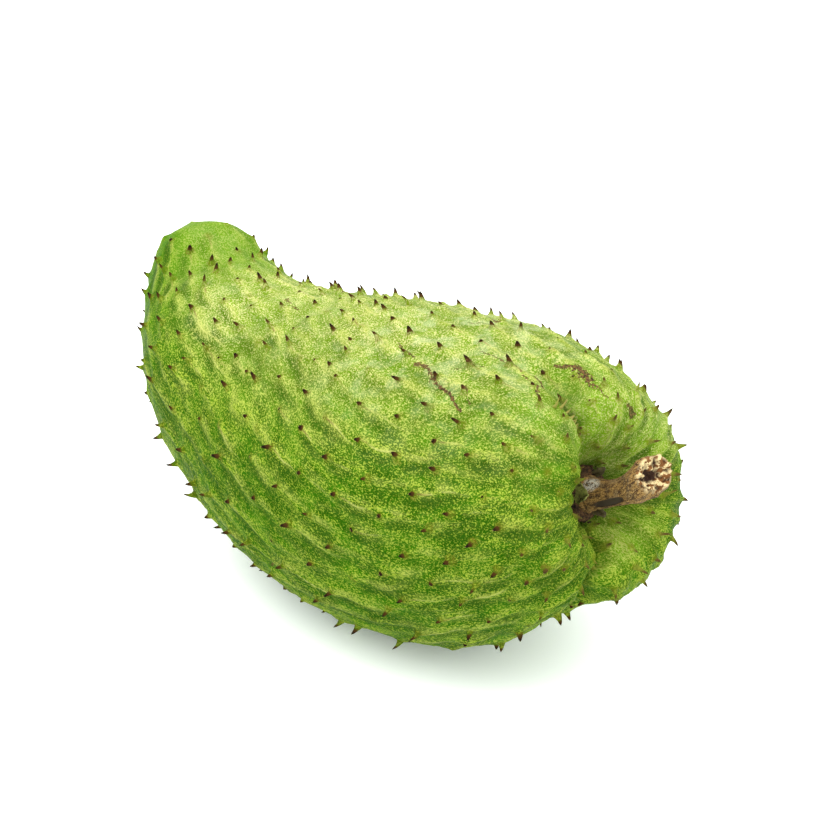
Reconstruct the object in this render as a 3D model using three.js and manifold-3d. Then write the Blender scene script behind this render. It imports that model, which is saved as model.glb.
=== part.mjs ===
// A soursop as picked: one fruit with its soft spines, the corky collar in its stem cavity,
// the cut stem, and the three dried sepals round the stem's foot.
// Millimetres, +Z up. The origin is the middle of the flat spot that the fruit rests on, +X is its
// stem end, -X its bent nose.
import * as THREE from 'three';
import { mergeGeometries, mergeVertices } from 'three/addons/utils/BufferGeometryUtils.js';
import Module from 'manifold-3d';

const wasm = await Module();
wasm.setup();

// ---------- driving dimensions ----------

// The line that runs through the middle of the fruit, from its stem end to its nose.
const coreLine = new THREE.CatmullRomCurve3([
  new THREE.Vector3(88, 0, 78),
  new THREE.Vector3(50, 0, 67),
  new THREE.Vector3(3, 0, 59),
  new THREE.Vector3(-38, -2, 61),
  new THREE.Vector3(-76, -2, 72),
  new THREE.Vector3(-106, 6, 89),
  new THREE.Vector3(-122, 11, 115),
], false, 'catmullrom', 0.5);

// The fruit's outline about that line, as (distance from the line's stem end, radius above it,
// radius below it): the floor of the stem cavity, the shoulder round it, the belly, the neck and
// the nose.
const cavityFloor = 5;
const outline = new THREE.CatmullRomCurve3([
  new THREE.Vector3(cavityFloor, 0, 0),
  new THREE.Vector3(cavityFloor, 9.5, 9.5),
  new THREE.Vector3(-1, 14.5, 14),
  new THREE.Vector3(-8, 20, 19),
  new THREE.Vector3(-11, 28, 25.5),
  new THREE.Vector3(-8, 37, 33.5),
  new THREE.Vector3(3, 45.5, 41.5),
  new THREE.Vector3(30, 53, 51.5),
  new THREE.Vector3(60, 56, 59),
  new THREE.Vector3(90, 56, 61.5),
  new THREE.Vector3(122, 51.5, 57),
  new THREE.Vector3(155, 42, 47.5),
  new THREE.Vector3(184, 32, 35.5),
  new THREE.Vector3(209, 23.5, 24.5),
  new THREE.Vector3(228, 14, 14.5),
  new THREE.Vector3(234, 0, 0),
], false, 'catmullrom', 0.5);

// The radius sideways, as a share of the mean of the two upright ones.
const sideways = 1.1;

// Two creases part the front lobe from the back one. Each starts on the cavity's wall and fades on
// the belly. A path is a list of (mm along the outline, turn); turns and widths are in degrees
// round the fruit, the rest in mm along the outline.
const creases = [
  {
    path: [[0, 94], [22, 99], [45, 99], [70, 94], [100, 91]],
    width: 10, depth: 12, deepFrom: 30, deepTo: 46, fadedAt: 112,
  },
  {
    path: [[20, -106], [30, -113], [50, -118], [70, -109], [90, -100]],
    width: 7, depth: 15, deepFrom: 28, deepTo: 84, fadedAt: 112,
  },
];
const creaseStart = 8;

// Places where the skin stands out a little, or lies low.
const swells = [
  { turn: 36, spread: 24, along: 68, reach: 18, height: -2.8 },
  { turn: -46, spread: 28, along: 56, reach: 24, height: 2.2 },
  { turn: -120, spread: 34, along: 119, reach: 28, height: 2.6 },
  { turn: 200, spread: 35, along: 312, reach: 18, height: -1.8 },
  { turn: 42, spread: 30, along: 307, reach: 11, height: 2.2 },
];

// Spines: how many, how far apart at the ends and on the belly, how much of both ends is bare, how
// much of the nose's tip is smooth, the size of one, and the more crowded patch on the neck.
const spineCount = 480;
const spineSpacing = { stem: 9.5, nose: 12.5, belly: 16.5 };
const bareEnd = 15;
const smoothTip = 26;
const spine = { sides: 4, root: 1.8, height: 3.7, heightSpread: 0.3, sunk: 0.8, lean: 0.35 };
const strayFromSite = 4;
const onNeck = { tries: 160, along: [165, 262], turn: [55, 150], gap: 7.2 };
const spotMargin = 3;
const goldenAngle = Math.PI * (3 - Math.sqrt(5));

const skinRings = 46;
const skinSides = 40;

const gap = 0.3;
const collar = { radius: 9.4, topRadius: 8.2, height: 3.4, sides: 20 };
const stem = { length: 30, sides: 14, bend: 10, slant: 0.1, slantTurn: 165 };
// Radius of the stem at even steps from its foot to its cut end.
const stemRadii = [6.2, 5.3, 4.9, 4.9, 5.1, 5.8, 6.9, 6.6];
const sepal = { width: 5.6, height: 5.6, thickness: 0.9, standsAt: 7.2 };
const sepals = [
  { name: 'sepal_front', turn: 156, lean: 0.1, scale: 1.3 },
  { name: 'sepal_lower', turn: -75, lean: 0.45, scale: 0.8 },
  { name: 'sepal_back', turn: 45, lean: 0.5, scale: 0.8 },
];

// ---------- helpers ----------

const { clamp, degToRad, euclideanModulo, lerp, smoothstep } = THREE.MathUtils;
const coreLength = coreLine.getLength();
const outlineLength = outline.getLength();

// The core line's own directions at a distance from its stem end, which may lie beyond that end.
function coreFrame(distance) {
  const inside = clamp(distance, 0, coreLength);
  const toNose = coreLine.getTangentAt(inside / coreLength);
  const centre = coreLine.getPointAt(inside / coreLength).addScaledVector(toNose, distance - inside);
  const toStem = toNose.clone().negate();
  const across = new THREE.Vector3(0, 1, 0).addScaledVector(toStem, -toStem.y).normalize();
  const up = new THREE.Vector3().crossVectors(toStem, across);
  return { centre, toNose, toStem, across, up };
}

// A point beside the core line: turn goes from +Y over the top.
function besideCore(distance, turn, aside, upright = aside) {
  const { centre, across, up } = coreFrame(distance);
  return centre
    .addScaledVector(across, aside * Math.cos(turn))
    .addScaledVector(up, upright * Math.sin(turn));
}

// How far round the fruit two turns are apart, without sign.
function turnApart(turn, other) {
  return Math.abs(euclideanModulo(turn - other + Math.PI, 2 * Math.PI) - Math.PI);
}

// The turn of a path of (along, turn) corners at a place along the outline.
function turnOnPath(path, along) {
  const after = path.findIndex(([place]) => place > along);
  if (after === 0) return degToRad(path[0][1]);
  if (after < 0) return degToRad(path.at(-1)[1]);
  const [[placeA, turnA], [placeB, turnB]] = [path[after - 1], path[after]];
  return degToRad(lerp(turnA, turnB, (along - placeA) / (placeB - placeA)));
}

function swellHeight(along, turn) {
  let height = 0;
  for (const swell of swells) {
    const round = turnApart(turn, degToRad(swell.turn)) / degToRad(swell.spread);
    height += swell.height * Math.exp(-(round ** 2) - ((along - swell.along) / swell.reach) ** 2);
  }
  return height;
}

function creaseDepth(along, turn) {
  let depth = 0;
  for (const crease of creases) {
    const away = turnApart(turn, turnOnPath(crease.path, along));
    const rise = smoothstep(along, creaseStart, crease.deepFrom);
    const fade = 1 - smoothstep(along, crease.deepTo, crease.fadedAt);
    depth += crease.depth * rise * fade * Math.exp(-away / degToRad(crease.width));
  }
  return depth;
}

// The outline at a share of its length: distance along the core line, both radii and their mean.
function outlineAt(reach) {
  const { x: distance, y: above, z: below } = outline.getPointAt(reach);
  return { distance, above, below, mean: (above + below) / 2 };
}

// A point of the skin: reach is 0 at the middle of the stem cavity and 1 at the tip of the nose.
function skinPoint(reach, turn) {
  const { distance, above, below, mean } = outlineAt(reach);
  const tangent = outline.getTangentAt(reach);
  const outward = new THREE.Vector2(-(tangent.y + tangent.z) / 2, tangent.x).normalize();
  const depth = creaseDepth(reach * outlineLength, turn);
  const sunk = depth * outward.y - swellHeight(reach * outlineLength, turn);
  const aside = Math.max(sideways * mean - sunk, 0);
  const upright = Math.max((Math.sin(turn) > 0 ? above : below) - sunk, 0);
  return besideCore(distance - depth * outward.x, turn, aside, upright);
}

// A closed body through rings of points, each end closed by a fan to the ring's middle. The rings
// run from the stem side towards the nose side.
function loft(rings) {
  const positions = [];
  const indices = [];
  const sides = rings[0].length;
  for (const ring of rings) for (const point of ring) positions.push(point.x, point.y, point.z);
  for (const ring of [rings[0], rings.at(-1)]) {
    const middle = new THREE.Vector3();
    for (const point of ring) middle.addScaledVector(point, 1 / sides);
    positions.push(middle.x, middle.y, middle.z);
  }
  const firstMiddle = rings.length * sides;
  for (let side = 0; side < sides; side++) {
    const next = (side + 1) % sides;
    for (let row = 0; row < rings.length - 1; row++) {
      const here = row * sides;
      const below = here + sides;
      indices.push(here + side, below + side, below + next, here + side, below + next, here + next);
    }
    const last = (rings.length - 1) * sides;
    indices.push(firstMiddle, side, next, firstMiddle + 1, last + next, last + side);
  }
  const geometry = new THREE.BufferGeometry();
  geometry.setAttribute('position', new THREE.Float32BufferAttribute(positions, 3));
  geometry.setIndex(indices);
  return geometry;
}

function ringOfPoints(sides, pointAt) {
  return Array.from({ length: sides }, (_, side) => pointAt(side * 2 * Math.PI / sides));
}

function toManifold(geometry) {
  const bare = geometry.clone();
  bare.deleteAttribute('normal');
  bare.deleteAttribute('uv');
  const merged = mergeVertices(bare);
  return new wasm.Manifold(new wasm.Mesh({
    numProp: 3,
    vertProperties: new Float32Array(merged.attributes.position.array),
    triVerts: new Uint32Array(merged.index.array),
  }));
}

function toGeometry(solid) {
  const mesh = solid.getMesh();
  const geometry = new THREE.BufferGeometry();
  geometry.setAttribute('position', new THREE.BufferAttribute(new Float32Array(mesh.vertProperties), 3));
  geometry.setIndex(new THREE.BufferAttribute(new Uint32Array(mesh.triVerts), 1));
  return geometry;
}

// The same number between 0 and 1 each time for a given pair.
function scatter(index, kind) {
  const wave = Math.sin(index * 12.9898 + kind * 78.233) * 43758.5453;
  return wave - Math.floor(wave);
}

function named(name, geometry, colour, roughness) {
  geometry.computeVertexNormals();
  const material = new THREE.MeshStandardMaterial({ color: colour, roughness, metalness: 0 });
  const mesh = new THREE.Mesh(geometry, material);
  mesh.name = name;
  return mesh;
}

// ---------- fruit ----------

// Sites of the spines, as reach and turn: a sunflower spiral, with its turns spaced so that the
// spines stand closer at both ends than on the belly, and each site moved a little. The wall of the
// cavity and the tip of the nose are bare. The hollow side of the neck holds more spines, each in a
// gap that the others leave.
function spineSites() {
  const steps = 400;
  const covered = [0];
  for (let step = 1; step <= steps; step++) {
    const reach = (step - 0.5) / steps;
    const radius = outlineAt(reach).mean;
    const belly = Math.sin(Math.PI * reach) ** 2;
    const atEnd = lerp(spineSpacing.stem, spineSpacing.nose, reach);
    const spacing = lerp(atEnd, spineSpacing.belly, belly);
    const bare = Math.min(reach, 1 - reach) * outlineLength < bareEnd;
    covered.push(covered[step - 1] + (bare ? 0 : radius / spacing ** 2));
  }
  const sites = [];
  let step = 1;
  for (let index = 0; index < spineCount; index++) {
    const share = (index + 0.5) / spineCount * covered[steps];
    while (covered[step] < share) step++;
    const within = (share - covered[step - 1]) / (covered[step] - covered[step - 1]);
    const reach = (step - 1 + within) / steps;
    const radius = Math.max(outlineAt(reach).mean, spineSpacing.nose / 2);
    sites.push({
      reach: clamp(reach + (scatter(index, 1) - 0.5) * strayFromSite / outlineLength, 0, 1),
      turn: index * goldenAngle + (scatter(index, 2) - 0.5) * strayFromSite / radius,
    });
  }
  for (let index = spineCount; index < spineCount + onNeck.tries; index++) {
    const reach = lerp(...onNeck.along, scatter(index, 1)) / outlineLength;
    const turn = degToRad(lerp(...onNeck.turn, scatter(index, 2)));
    const radius = outlineAt(reach).mean;
    const free = sites.every((site) => Math.hypot((site.reach - reach) * outlineLength,
      radius * turnApart(site.turn, turn)) > onNeck.gap);
    if (free) sites.push({ reach, turn });
  }
  return sites;
}

// One spine: a small pyramid that stands on the skin, leans towards the nose, and stays off the
// surface that the fruit rests on. None stands on the flat spot or on the nose's smooth tip.
function spineGeometry(site, index) {
  const foot = skinPoint(site.reach, site.turn);
  if (foot.z < spotMargin || (1 - site.reach) * outlineLength < smoothTip) return null;
  const step = 0.004;
  const alongSkin = skinPoint(Math.min(site.reach + step, 1), site.turn)
    .sub(skinPoint(Math.max(site.reach - step, 0), site.turn)).normalize();
  const roundSkin = skinPoint(site.reach, site.turn + 0.02)
    .sub(skinPoint(site.reach, site.turn - 0.02)).normalize();
  const out = new THREE.Vector3().crossVectors(alongSkin, roundSkin).normalize();
  const height = spine.height * (1 + spine.heightSpread * (2 * scatter(index, 3) - 1));
  const tip = foot.clone().addScaledVector(out, height).addScaledVector(alongSkin, height * spine.lean);
  tip.z = Math.max(tip.z, gap);
  const root = ringOfPoints(spine.sides, (angle) => foot.clone()
    .addScaledVector(out, -spine.sunk)
    .addScaledVector(alongSkin, spine.root * Math.cos(angle))
    .addScaledVector(roundSkin, spine.root * Math.sin(angle)));
  const positions = [];
  for (let side = 0; side < spine.sides; side++) {
    const next = (side + 1) % spine.sides;
    positions.push(...root[side].toArray(), ...root[next].toArray(), ...tip.toArray());
    if (side > 0 && side < spine.sides - 1) {
      positions.push(...root[0].toArray(), ...root[side + 1].toArray(), ...root[side].toArray());
    }
  }
  const geometry = new THREE.BufferGeometry();
  geometry.setAttribute('position', new THREE.Float32BufferAttribute(positions, 3));
  return geometry;
}

function makeFruit() {
  const firstTurn = degToRad(creases[0].path[0][1]);
  const rings = [];
  for (let row = 1; row < skinRings; row++) {
    rings.push(ringOfPoints(skinSides, (angle) => skinPoint(row / skinRings, angle + firstTurn)));
  }
  const skin = toManifold(loft(rings));
  const spines = toManifold(mergeGeometries(spineSites().map(spineGeometry).filter(Boolean)));
  const aboveFloor = new THREE.BoxGeometry(400, 400, 300).translate(0, 0, 150);
  return toGeometry(skin.add(spines).intersect(toManifold(aboveFloor)));
}

// ---------- collar, stem and sepals ----------

function makeCollar() {
  const lumpy = (radius, distance) => ringOfPoints(collar.sides, (turn) => {
    const lump = 1 + 0.05 * Math.sin(3 * turn + 1) + 0.03 * Math.sin(7 * turn);
    return besideCore(distance, turn, radius * lump);
  });
  const foot = cavityFloor - gap;
  return loft([
    lumpy(collar.topRadius, foot - collar.height),
    lumpy(collar.radius, foot - collar.height * 0.7),
    lumpy(collar.radius * 0.98, foot - collar.height * 0.3),
    lumpy(collar.radius * 0.82, foot),
  ]);
}

const collarTop = cavityFloor - gap - collar.height;

function makeStem() {
  const foot = collarTop - gap;
  const rings = stemRadii.map((radius, step) => {
    const rise = step / (stemRadii.length - 1);
    const { up } = coreFrame(0);
    return ringOfPoints(stem.sides, (turn) => {
      const knobbly = 1 + 0.04 * Math.sin(2 * turn + 5 * rise) + 0.03 * Math.sin(5 * turn);
      const slanted = stem.slant * Math.cos(turn - degToRad(stem.slantTurn)) * rise ** 3;
      return besideCore(foot - stem.length * (rise - slanted), turn, radius * knobbly)
        .addScaledVector(up, stem.bend * rise * rise);
    });
  });
  return loft(rings.reverse());
}

function makeSepal({ turn: turnDegrees, lean, scale }) {
  const turn = degToRad(turnDegrees);
  const foot = collarTop - gap;
  const halfWidths = [0.12, 0.32, 0.46, 0.5];
  const rings = halfWidths.map((half, row) => {
    const rise = 1 - row / (halfWidths.length - 1);
    const out = sepal.standsAt + lean * scale * sepal.height * rise * rise;
    const spread = half * scale * sepal.width / sepal.standsAt;
    const inner = out - sepal.thickness / 2;
    const outer = out + sepal.thickness / 2;
    const distance = foot - scale * sepal.height * rise;
    return [
      besideCore(distance, turn - spread, outer),
      besideCore(distance, turn, outer),
      besideCore(distance, turn + spread, outer),
      besideCore(distance, turn + spread, inner),
      besideCore(distance, turn, inner),
      besideCore(distance, turn - spread, inner),
    ];
  });
  return loft(rings);
}

// ---------- assembly ----------

const soursop = new THREE.Group();
soursop.name = 'soursop';
soursop.add(named('fruit', makeFruit(), 0x7fa63a, 0.5));
soursop.add(named('collar', makeCollar(), 0x3d2d20, 0.95));
soursop.add(named('stem', makeStem(), 0x7a6550, 0.9));
for (const one of sepals) soursop.add(named(one.name, makeSepal(one), 0x5c5a34, 0.85));

export default soursop;
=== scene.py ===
import math
from types import SimpleNamespace

import bpy
import numpy as np
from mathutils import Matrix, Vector, noise


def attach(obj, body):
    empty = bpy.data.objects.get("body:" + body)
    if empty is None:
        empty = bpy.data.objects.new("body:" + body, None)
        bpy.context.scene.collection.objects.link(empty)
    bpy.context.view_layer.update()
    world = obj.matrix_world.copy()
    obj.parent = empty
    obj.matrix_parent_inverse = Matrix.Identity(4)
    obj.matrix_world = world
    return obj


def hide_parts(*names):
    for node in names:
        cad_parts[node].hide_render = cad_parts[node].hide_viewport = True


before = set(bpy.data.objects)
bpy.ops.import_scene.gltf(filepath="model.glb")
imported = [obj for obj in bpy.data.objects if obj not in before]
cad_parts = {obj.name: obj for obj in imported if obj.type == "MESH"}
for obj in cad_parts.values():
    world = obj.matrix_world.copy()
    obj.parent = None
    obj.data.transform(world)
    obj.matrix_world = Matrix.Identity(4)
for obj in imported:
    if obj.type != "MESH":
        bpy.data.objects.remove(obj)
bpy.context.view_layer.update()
mm = 0.001
print("frame loaded")


# lengths below are millimetres and angles degrees; a turn goes from +Y over the top to -Y
body = {
    "coreLine": [(88, 0, 78), (50, 0, 67), (3, 0, 59), (-38, -2, 61), (-76, -2, 72), (-106, 6, 89),
                 (-122, 11, 115)],
    # distance from the core line's stem end, radius above it, radius below it
    "outline": [(5, 0, 0), (5, 9.5, 9.5), (-1, 14.5, 14), (-8, 20, 19), (-11, 28, 25.5), (-8, 37, 33.5),
                (3, 45.5, 41.5), (30, 53, 51.5), (60, 56, 59), (90, 56, 61.5), (122, 51.5, 57),
                (155, 42, 47.5), (184, 32, 35.5), (209, 23.5, 24.5), (228, 14, 14.5), (234, 0, 0)],
    "sideways": 1.1,
    # a path is (along the skin, turn), from the cavity outwards
    "creases": [
        {"path": [(0, 94), (22, 99), (45, 99), (70, 94), (100, 91)],
         "width": 10, "depth": 12, "deepFrom": 30, "deepTo": 46, "fadedAt": 112},
        {"path": [(20, -106), (30, -113), (50, -118), (70, -109), (90, -100)],
         "width": 7, "depth": 15, "deepFrom": 28, "deepTo": 84, "fadedAt": 112},
    ],
    "creaseStart": 8,
    # places where the skin stands out or lies low
    "swells": [
        {"turn": 36, "spread": 24, "along": 68, "reach": 18, "height": -2.8},
        {"turn": -46, "spread": 28, "along": 56, "reach": 24, "height": 2.2},
        {"turn": -120, "spread": 34, "along": 119, "reach": 28, "height": 2.6},
        {"turn": 200, "spread": 35, "along": 312, "reach": 18, "height": -1.8},
        {"turn": 42, "spread": 30, "along": 307, "reach": 11, "height": 2.2},
    ],
    "cavityFloor": 5,
}


def curveThrough(points, steps=1500):
    # a smooth curve through the points, with the distance travelled at each step
    points = np.array(points, float)
    ends = np.vstack([2 * points[0] - points[1], points, 2 * points[-1] - points[-2]])
    t = np.linspace(0, len(points) - 1, steps)
    i = np.minimum(t.astype(int), len(points) - 2)
    w = (t - i)[:, None]
    a, b, c, d = ends[i], ends[i + 1], ends[i + 2], ends[i + 3]
    bend = (2 * a - 5 * b + 4 * c - d) * w ** 2 + (3 * b - a - 3 * c + d) * w ** 3
    places = 0.5 * (2 * b + (c - a) * w + bend)
    lengths = np.r_[0, np.cumsum(np.linalg.norm(np.diff(places, axis=0), axis=1))]
    return places, lengths


def onCurve(curve, distance):
    places, lengths = curve
    return np.stack([np.interp(distance, lengths, places[:, k]) for k in range(places.shape[1])], -1)


def unit(vectors):
    return vectors / np.maximum(np.linalg.norm(vectors, axis=-1, keepdims=True), 1e-12)


def smoothStep(value, low, high):
    t = np.clip((value - low) / (high - low), 0, 1)
    return t * t * (3 - 2 * t)


def partWay(limits, share):
    return limits[0] + (limits[1] - limits[0]) * share


def scatter(index, kind):
    # the same number between 0 and 1 each time for a given pair
    wave = np.sin(index * 12.9898 + kind * 78.233) * 43758.5453
    return wave - np.floor(wave)


def turnApart(turn, other):
    return np.mod(turn - other + math.pi, 2 * math.pi) - math.pi


coreCurve = curveThrough(body["coreLine"])
outlineCurve = curveThrough(body["outline"])
coreLength = coreCurve[1][-1]
skinLength = outlineCurve[1][-1]


def coreFrame(distance):
    inside = np.clip(distance, 0, coreLength)
    nearer = onCurve(coreCurve, np.maximum(inside - 0.5, 0))
    further = onCurve(coreCurve, np.minimum(inside + 0.5, coreLength))
    toStem = unit(nearer - further)
    centre = onCurve(coreCurve, inside) - toStem * (distance - inside)[..., None]
    across = unit(np.array([0, 1, 0]) - toStem[..., 1:2] * toStem)
    return centre, toStem, across, np.cross(toStem, across)


def besideCore(distance, turn, aside, upright):
    centre, toStem, across, up = coreFrame(distance)
    return centre + across * (aside * np.cos(turn))[..., None] + up * (upright * np.sin(turn))[..., None]


def creaseDepth(along, turn):
    depth = np.zeros_like(turn)
    for crease in body["creases"]:
        middle = np.radians(np.interp(along, *zip(*crease["path"])))
        away = np.sqrt(turnApart(turn, middle) ** 2 + 0.002) - 0.045  # keeps the bottom a little round
        reach = smoothStep(along, body["creaseStart"], crease["deepFrom"])
        reach = reach * (1 - smoothStep(along, crease["deepTo"], crease["fadedAt"]))
        depth += crease["depth"] * reach * np.exp(-np.maximum(away, 0) / math.radians(crease["width"]))
    return depth


def swellHeight(along, turn):
    height = np.zeros_like(turn)
    for swell in body["swells"]:
        aside = turnApart(turn, math.radians(swell["turn"])) / math.radians(swell["spread"])
        onward = (along - swell["along"]) / swell["reach"]
        height += swell["height"] * np.exp(-aside ** 2 - onward ** 2)
    return height


def skinPoints(along, turn):
    distance, above, below = np.moveaxis(onCurve(outlineCurve, along), -1, 0)
    ahead = onCurve(outlineCurve, np.minimum(along + 0.5, skinLength))
    slope = ahead - onCurve(outlineCurve, np.maximum(along - 0.5, 0))
    outward = unit(np.stack([-(slope[..., 1] + slope[..., 2]) / 2, slope[..., 0]], -1))
    depth = creaseDepth(along, turn)
    sunk = depth * outward[..., 1] - swellHeight(along, turn)
    aside = np.maximum(body["sideways"] * (above + below) / 2 - sunk, 0)
    upright = np.maximum(np.where(np.sin(turn) > 0, above, below) - sunk, 0)
    return besideCore(distance - depth * outward[..., 0], turn, aside, upright)


def skinFrame(along, turn):
    # each place on the skin, with the ways out of it, towards the nose and onward round the fruit
    inside = np.clip(along, 1.5, skinLength - 1.5)
    toNose = unit(skinPoints(inside + 0.6, turn) - skinPoints(inside - 0.6, turn))
    onward = unit(skinPoints(inside, turn + 0.01) - skinPoints(inside, turn - 0.01))
    return skinPoints(along, turn), unit(np.cross(toNose, onward)), toNose, onward


def skinRadius(along):
    return onCurve(outlineCurve, along)[..., 1:].mean(-1)


# the lines of growth twist a little over the belly: flow is the skin laid out along them
growth = {
    "slope": 0.35,
    "twistsIn": (95, 150),
    "twistsOut": (215, 240),
    # radius that the flow keeps near the stem, so that its patterns don't crowd there
    "leastRadius": 34,
    "leastUntil": (60, 120),
}

twistPlaces = np.linspace(0, skinLength, 600)
twistRate = growth["slope"] * smoothStep(twistPlaces, *growth["twistsIn"])
twistRate = twistRate * (1 - smoothStep(twistPlaces, *growth["twistsOut"]))
twistAngle = np.cumsum(twistRate / np.maximum(skinRadius(twistPlaces), 8)) * (twistPlaces[1] - twistPlaces[0])


def flowTurn(along, turn):
    return turn + np.interp(along, twistPlaces, twistAngle)


def flowPlace(along, turn):
    least = growth["leastRadius"] * (1 - smoothStep(along, *growth["leastUntil"]))
    radius = np.maximum(skinRadius(along), least)
    angle = flowTurn(along, turn)
    return np.stack([radius * np.cos(angle), radius * np.sin(angle), along], -1)


def noiseAt(places, size, seed=0.0, squeeze=(1, 1, 1)):
    # smooth noise from about -1 to 1, with bumps of about the given size
    places = places * np.array(squeeze) / size
    shift = Vector((seed * 17.3, seed * 5.1, -seed * 9.7))
    return np.array([noise.noise(Vector(p) + shift) for p in places])


def deselectAll():
    bpy.ops.object.select_all(action="DESELECT")


def selectOnly(piece):
    deselectAll()
    piece.select_set(True)
    bpy.context.view_layer.objects.active = piece


def readPlaces(piece):
    places = np.empty(len(piece.data.vertices) * 3)
    piece.data.vertices.foreach_get("co", places)
    return places.reshape(-1, 3)


def setPlaces(piece, places):
    piece.data.vertices.foreach_set("co", (places * mm).ravel())
    piece.data.update()


def pushOut(piece, height):
    # moves each vertex along its own normal, in millimetres
    piece.data.update()
    normals = np.empty(len(piece.data.vertices) * 3)
    piece.data.vertices.foreach_get("normal", normals)
    setPlaces(piece, readPlaces(piece) / mm + normals.reshape(-1, 3) * height[:, None])


def addAttribute(piece, name, values):
    vector = np.ndim(values) == 2
    layer = piece.data.attributes.new(name, "FLOAT_VECTOR" if vector else "FLOAT", "POINT")
    values = np.ascontiguousarray(values, dtype=float).ravel()
    layer.data.foreach_set("vector" if vector else "value", values)


def addBall(name, segments, rings):
    # rows of the ball run from pole to pole; each becomes a ring of the grown shape
    deselectAll()
    bpy.ops.mesh.primitive_uv_sphere_add(segments=segments, ring_count=rings, radius=1)
    ball = bpy.context.active_object
    ball.name = name
    bpy.ops.object.shade_smooth()
    places = readPlaces(ball)
    row = np.arccos(np.clip(places[:, 2], -1, 1)) / math.pi
    turn = np.mod(np.arctan2(places[:, 1], places[:, 0]), 2 * math.pi)
    return ball, row, turn


def faceOutwards(piece):
    selectOnly(piece)
    bpy.ops.object.mode_set(mode="EDIT")
    bpy.ops.mesh.select_all(action="SELECT")
    bpy.ops.mesh.normals_make_consistent(inside=False)
    bpy.ops.object.mode_set(mode="OBJECT")


def joinInto(piece, others):
    selectOnly(piece)
    for other in others:
        other.select_set(True)
    bpy.ops.object.join()
    return piece


# spines: where they stand, then the size of one, its mound and the tail of raised skin behind it
spines = {
    "count": 480,
    "stemSpacing": 9.5,
    "noseSpacing": 12.5,
    "bellySpacing": 16.5,
    "firstAt": 15,
    "bareNose": 15,
    "smoothTip": 26,
    "stray": 4,
    "spotMargin": 3,
    "neckTries": 160,
    "neckAlong": (165, 262),
    "neckTurn": (55, 150),
    "neckGap": 7.2,
    "height": 3.7,
    "heightSpread": 0.35,
    "moundHeight": 1.0,
    "moundRadius": 2.6,
    "tailLength": 26,
    "tailHeight": 0.85,
    "tailWidth": 1.8,
    "tailWave": 1.2,
    "tailShade": 0.45,
    "reach": 9,  # a spine changes no skin further ahead of it or beside it
}

noVein = [9.0, 0.0, 0.0]  # offset from the nearest tail's middle, its strength, how far behind its spine


def spineSites():
    # a sunflower spiral, closer at both ends than on the belly, with each site moved a little
    slices = 400
    reach = (np.arange(slices) + 0.5) / slices
    atEnd = partWay((spines["stemSpacing"], spines["noseSpacing"]), reach)
    spacing = partWay((atEnd, spines["bellySpacing"]), np.sin(math.pi * reach) ** 2)
    at = reach * skinLength
    bare = (at < spines["firstAt"]) | (at > skinLength - spines["bareNose"])
    covered = np.r_[0, np.cumsum(np.where(bare, 0, skinRadius(at) / spacing ** 2))]
    index = np.arange(spines["count"])
    share = (index + 0.5) / spines["count"] * covered[-1]
    at = np.interp(share, covered, np.arange(slices + 1) / slices) * skinLength
    radius = np.maximum(skinRadius(at), 6)
    along = np.clip(at + (scatter(index, 1) - 0.5) * spines["stray"], 0, skinLength)
    turn = index * math.pi * (3 - math.sqrt(5)) + (scatter(index, 2) - 0.5) * spines["stray"] / radius
    # the hollow side of the neck holds more, each in a gap that the others leave
    for tried in range(spines["count"], spines["count"] + spines["neckTries"]):
        at = partWay(spines["neckAlong"], scatter(tried, 1))
        around = math.radians(partWay(spines["neckTurn"], scatter(tried, 2)))
        if np.hypot(along - at, skinRadius(at) * turnApart(turn, around)).min() > spines["neckGap"]:
            along, turn = np.append(along, at), np.append(turn, around)
    index = np.arange(len(along))
    standing = skinPoints(along, turn)[:, 2] > spines["spotMargin"]
    return index[standing], along[standing], np.mod(turn[standing], 2 * math.pi)


siteIndex, siteAlong, siteTurn = spineSites()


def spineRelief(along, turn):
    # mounds under the spines and the low ridge that trails from each towards the stem
    radius = np.maximum(skinRadius(along), 6)
    angle, siteAngle = flowTurn(along, turn), flowTurn(siteAlong, siteTurn)
    mound, ridge, shade = np.zeros_like(along), np.zeros_like(along), np.zeros_like(along)
    vein = np.tile(noVein, (len(along), 1))
    sideways = -np.cos(turn)
    for i, index in enumerate(siteIndex):
        strength = 0.35 + 0.9 * scatter(index, 4)
        length = spines["tailLength"] * (0.6 + 0.8 * scatter(index, 5))
        behind = siteAlong[i] - along
        near = np.nonzero((behind > -spines["reach"]) & (behind < length))[0]
        aside = radius[near] * turnApart(angle[near], siteAngle[i])
        close = np.abs(aside) < spines["reach"]
        near, aside = near[close], aside[close]
        behind = behind[near]
        dome = np.exp(-(behind ** 2 + aside ** 2) / spines["moundRadius"] ** 2)
        mound[near] = np.maximum(mound[near], dome)
        wave = spines["tailWave"] * np.sin(behind * 0.2 + 6.3 * scatter(index, 6)) * smoothStep(behind, 2, 14)
        offset = aside - wave
        # the lower flank of the ridge is steeper, with a groove below it; shade marks the groove and is
        # painted into the colour as shade
        down = offset * np.where(sideways[near] > 0, 1, -1)
        lean = np.abs(sideways[near])
        flank = np.where(down > 0, 1 - 0.35 * lean, 1 + 0.5 * lean)
        width = spines["tailWidth"] * flank * (0.7 + 0.3 * smoothStep(along[near], 20, 60))
        fade = smoothStep(behind, -2, 3) * (1 - smoothStep(behind, 0.25 * length, length)) * strength
        ridge[near] = np.maximum(ridge[near], fade * np.exp(-(down / width) ** 2))
        shade[near] = np.maximum(shade[near], fade * lean * np.exp(-((down - 3.0) / 2.0) ** 2))
        line = fade * (1 - smoothStep(np.abs(offset), 1.6, 2.8)) * smoothStep(scatter(index, 12), 0.25, 0.7)
        nearer = line > vein[near, 1]
        vein[near[nearer]] = np.stack([offset, line, behind], -1)[nearer]
    return mound, ridge, shade, vein
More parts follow.
